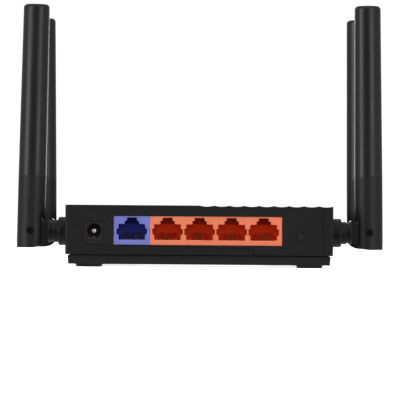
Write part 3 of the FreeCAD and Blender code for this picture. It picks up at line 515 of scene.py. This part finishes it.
def refined(node, radius, segments):
    """The CAD node's own shape, cleaned and with its sharp edges rounded, inside the same box.

    Faces with more than four corners are cut into triangles first, since the bevel can fold them over.
    """
    bm = bmesh.new()
    bm.from_mesh(frame["nodes"][node].data)
    bmesh.ops.remove_doubles(bm, verts=bm.verts, dist=WELD_DISTANCE)
    bmesh.ops.dissolve_limit(bm, angle_limit=FLAT_ANGLE, verts=bm.verts, edges=bm.edges)
    many_sided = [face for face in bm.faces if len(face.verts) > 4]
    bmesh.ops.triangulate(bm, faces=many_sided)
    low, high = corners_of([vert.co for vert in bm.verts])
    obj = object_from(node + "_body", bm)
    round_edges(obj, radius, segments)
    for vert in obj.data.vertices:
        vert.co = [min(max(vert.co[axis], low[axis]), high[axis]) for axis in range(3)]
    return finished(obj, node)


def ring(bm, centre, half_x, half_y, z):
    """An oval of vertices round the centre at one height."""
    verts = []
    for index in range(SLEEVE_SEGMENTS):
        angle = 2 * math.pi * index / SLEEVE_SEGMENTS
        place = (centre[0] + half_x * math.cos(angle), centre[1] + half_y * math.sin(angle), z)
        verts.append(bm.verts.new(place))
    return verts


def skin(bm, rings):
    """Quads between rings in turn, closed at both ends."""
    for low, high in zip(rings, rings[1:]):
        count = len(low)
        for index in range(count):
            after = (index + 1) % count
            bm.faces.new((low[index], low[after], high[after], high[index]))
    bm.faces.new(rings[0][::-1])
    bm.faces.new(rings[-1])


def joint_of(name):
    """The joint of this name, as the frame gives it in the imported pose."""
    for joint in frame["joints"]:
        if joint["name"] == name:
            return joint
    raise KeyError(name)


# ---------------------------------------------------------------- stage, light and camera


def area_light(name, place, aim, size, power):
    """A white rectangle of light at place that faces aim."""
    data = bpy.data.lights.new(name, "AREA")
    data.shape = "RECTANGLE"
    data.size = size[0]
    data.size_y = size[1]
    data.energy = power
    light = bpy.data.objects.new(name, data)
    bpy.context.scene.collection.objects.link(light)
    light.location = place
    light.rotation_euler = (Vector(aim) - Vector(place)).to_track_quat("-Z", "Y").to_euler()
    return light


def only_for(light, receivers):
    """Makes the light shine on these objects alone."""
    lit = bpy.data.collections.new("lit_by_" + light.name)
    for obj in receivers:
        lit.objects.link(obj)
    light.light_linking.receiver_collection = lit


def floor_material():
    """White acrylic on a light table: it glows evenly and still shows a faint contact shadow."""
    shader = Shader("studio_floor")
    grain = shader.noise(60 * MM, detail=4.0)
    shader.colour(shader.ramp(grain, [(0.3, (0.93, 0.93, 0.93)), (0.7, (0.96, 0.96, 0.96))]))
    shader.rough(shader.remap(grain, 0.7, 0.85))
    shader.set(Specular_IOR_Level=0.2, Emission_Color=(1, 1, 1, 1), Emission_Strength=FLOOR_GLOW)
    return shader.material


def build_stage():
    """The floor. It gives no light and no reflection to the object."""
    bm = bmesh.new()
    bmesh.ops.create_grid(bm, x_segments=8, y_segments=8, size=FLOOR_HALF_SIZE)
    floor = object_from("floor", bm)
    floor.location.z = CAD_BOX[0][2] - FLOOR_GAP
    floor.data.materials.append(floor_material())
    floor.visible_diffuse = False
    floor.visible_glossy = False
    return floor


def build_world():
    """White behind the object, an even fill from all round, and a dark end behind the camera."""
    world = bpy.data.worlds.new("studio")
    bpy.context.scene.world = world
    world.use_nodes = True
    nodes = world.node_tree.nodes
    links = world.node_tree.links
    nodes.clear()
    output = nodes.new("ShaderNodeOutputWorld")
    seen = nodes.new("ShaderNodeBackground")
    fill = nodes.new("ShaderNodeBackground")
    choose = nodes.new("ShaderNodeMixShader")
    path = nodes.new("ShaderNodeLightPath")
    seen.inputs["Color"].default_value = (1, 1, 1, 1)
    seen.inputs["Strength"].default_value = BACKDROP
    fill.inputs["Color"].default_value = (1, 1, 1, 1)
    direction = nodes.new("ShaderNodeTexCoord")
    towards_rear = nodes.new("ShaderNodeVectorMath")
    towards_rear.operation = "DOT_PRODUCT"
    towards_rear.inputs[1].default_value = (0, -1, 0)
    shade = nodes.new("ShaderNodeMapRange")
    shade.interpolation_type = "SMOOTHSTEP"
    shade.inputs["From Min"].default_value = math.cos(math.radians(DARK_CONE[1]))
    shade.inputs["From Max"].default_value = math.cos(math.radians(DARK_CONE[0]))
    shade.inputs["To Min"].default_value = ROOM_FILL
    shade.inputs["To Max"].default_value = DARK_FILL
    links.new(direction.outputs["Generated"], towards_rear.inputs[0])
    links.new(towards_rear.outputs["Value"], shade.inputs["Value"])
    links.new(shade.outputs["Result"], fill.inputs["Strength"])
    links.new(path.outputs["Is Camera Ray"], choose.inputs[0])
    links.new(fill.outputs[0], choose.inputs[1])
    links.new(seen.outputs[0], choose.inputs[2])
    links.new(choose.outputs[0], output.inputs["Surface"])


def around(azimuth, elevation, distance):
    """The place at this distance from the middle of the router; azimuth 0 is the camera's side."""
    turn = math.radians(azimuth)
    rise = math.radians(elevation)
    flat = distance * math.cos(rise)
    return (flat * math.sin(turn), -flat * math.cos(turn), distance * math.sin(rise) + LIGHT_AIM_HEIGHT)


def build_lights(floor, antennas, sockets):
    """Every light, and for the local ones the pieces that they shine on."""
    middle = (0, 0, LIGHT_AIM_HEIGHT)
    for name, azimuth, elevation, size, power in SOFTBOXES:
        light = area_light(name, around(azimuth, elevation, SOFTBOX_DISTANCE), middle, size, power)
        light.visible_diffuse = False
    for name, azimuth, elevation, size, power in CROSS_POLARISED:
        light = area_light(name, around(azimuth, elevation, LIGHT_DISTANCE), middle, size, power)
        light.visible_glossy = False
    for name, azimuth, corner, power in RIM_LIGHTS:
        light = area_light(name, around(azimuth, 0, LIGHT_DISTANCE), middle, RIM_SIZE, power)
        light.visible_diffuse = False
        only_for(light, antennas[corner])
    beside_camera = around(0, SOCKET_FILL_ELEVATION, LIGHT_DISTANCE)
    socket_fill = area_light("socket_fill", beside_camera, middle, SOCKET_FILL_SIZE, SOCKET_FILL_POWER)
    socket_fill.visible_glossy = False
    only_for(socket_fill, sockets)
    overhead = area_light("overhead", OVERHEAD_PLACE, (0, 0, 0), OVERHEAD_SIZE, OVERHEAD_POWER)
    only_for(overhead, [floor])


def build_camera():
    """A long lens that looks at the middle of the socket wall."""
    data = bpy.data.cameras.new("camera")
    data.lens = LENS_MM
    data.sensor_width = SENSOR_MM
    data.clip_start = CAMERA_CLIP[0]
    data.clip_end = CAMERA_CLIP[1]
    camera = bpy.data.objects.new("camera", data)
    bpy.context.scene.collection.objects.link(camera)
    rear_y = CAD_BOX[0][1]
    aim = Vector((AIM_X, rear_y, AIM_HEIGHT))
    sideways = CAMERA_DISTANCE * math.sin(CAMERA_YAW)
    back = CAMERA_DISTANCE * math.cos(CAMERA_YAW)
    camera.location = (AIM_X + sideways, rear_y - back, CAMERA_HEIGHT)
    look = (aim - camera.location).to_track_quat("-Z", "Y").to_matrix()
    roll = Matrix.Rotation(CAMERA_ROLL, 3, "Z")
    camera.rotation_euler = (look @ roll).to_euler()
    bpy.context.scene.camera = camera


# ---------------------------------------------------------------- the router


def antenna_axes(corner):
    """The antenna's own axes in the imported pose: the origin on its fold hinge, +Z up the sleeve.

    At the upper limit of its fold the antenna is level. What that limit has over 90 degrees is
    therefore how far it leans towards the case now.
    """
    fold = joint_of(corner + "_fold")
    lean = math.radians(fold["range_deg"][1] - 90)
    return Matrix.Translation(fold["pos_m"]) @ Matrix.Rotation(-lean, 4, Vector(fold["axis"]))


def box_in(axes, node):
    """The node's box measured along other axes."""
    obj = frame["nodes"][node]
    into = axes.inverted() @ obj.matrix_world
    return corners_of([into @ vertex.co for vertex in obj.data.vertices])


def build_sleeve(corner):
    """The long hollow sleeve as smooth rings, from its bore out over its lower edge to its tip."""
    node = corner + "_antenna_sleeve"
    axes = antenna_axes(corner)
    low, high = box_in(axes, node)
    centre = ((low.x + high.x) / 2, (low.y + high.y) / 2)
    half_low = ((high.x - low.x) / 2, (high.y - low.y) / 2)
    half_high = (half_low[0] - SLEEVE_TAPER[0], half_low[1] - SLEEVE_TAPER[1])
    top = high.z - TIP_ROUND
    rings = [(half_low[0] - inset, half_low[1] - inset, low.z + rise) for inset, rise in JOINT_RINGS]
    steps = int((top - low.z) / SLEEVE_RING_STEP)
    for index in range(1, steps + 1):
        share = index / steps
        rings.append((
            half_low[0] + (half_high[0] - half_low[0]) * share,
            half_low[1] + (half_high[1] - half_low[1]) * share,
            low.z + JOINT_EDGE * 2 + (top - low.z - JOINT_EDGE * 2) * share,
        ))
    for index in range(1, TIP_STEPS + 1):
        angle = TIP_ANGLE * index / TIP_STEPS
        inset = TIP_ROUND * (1 - math.cos(angle))
        rise = TIP_ROUND * math.sin(angle) / math.sin(TIP_ANGLE)
        rings.append((half_high[0] - inset, half_high[1] - inset, top + rise))
    bore = [
        (half_low[0] - SLEEVE_WALL, half_low[1] - SLEEVE_WALL, low.z),
        (half_high[0] - SLEEVE_WALL, half_high[1] - SLEEVE_WALL, high.z - SLEEVE_ROOF),
    ]
    bm = bmesh.new()
    outside = [ring(bm, centre, x, y, z) for x, y, z in rings]
    inside = [ring(bm, centre, x, y, z) for x, y, z in bore]
    skin(bm, inside[::-1] + outside)
    bm.transform(axes)
    return finished(object_from(node + "_shell", bm, SLEEVE_SHARP_ANGLE), node)


def build_router():
    """Builds the remade pieces; returns each antenna's outer pieces and the sockets."""
    case = {node: refined(node, radius, segments) for node, radius, segments in CASE_PIECES}
    sockets = [case[node] for node in SOCKET_NODES]
    antennas = {}
    for corner in CORNERS:
        sleeve = build_sleeve(corner)
        fork = refined(corner + "_antenna_fork", *FORK_EDGE)
        refined(corner + "_swivel_base", *SWIVEL_EDGE)
        antennas[corner] = [sleeve, fork]
    return antennas, sockets


def finish_kept_nodes():
    """Every CAD node that still shows gets its own finish."""
    for name, node in frame["nodes"].items():
        if not node.hide_render:
            for place in node.material_slots:
                place.material = MATERIALS[slot_of(name)]


build_camera()
build_world()
build_lights(build_stage(), *build_router())
finish_kept_nodes()
bpy.context.scene.view_settings.view_transform = "Standard"

bpy.context.view_layer.update()
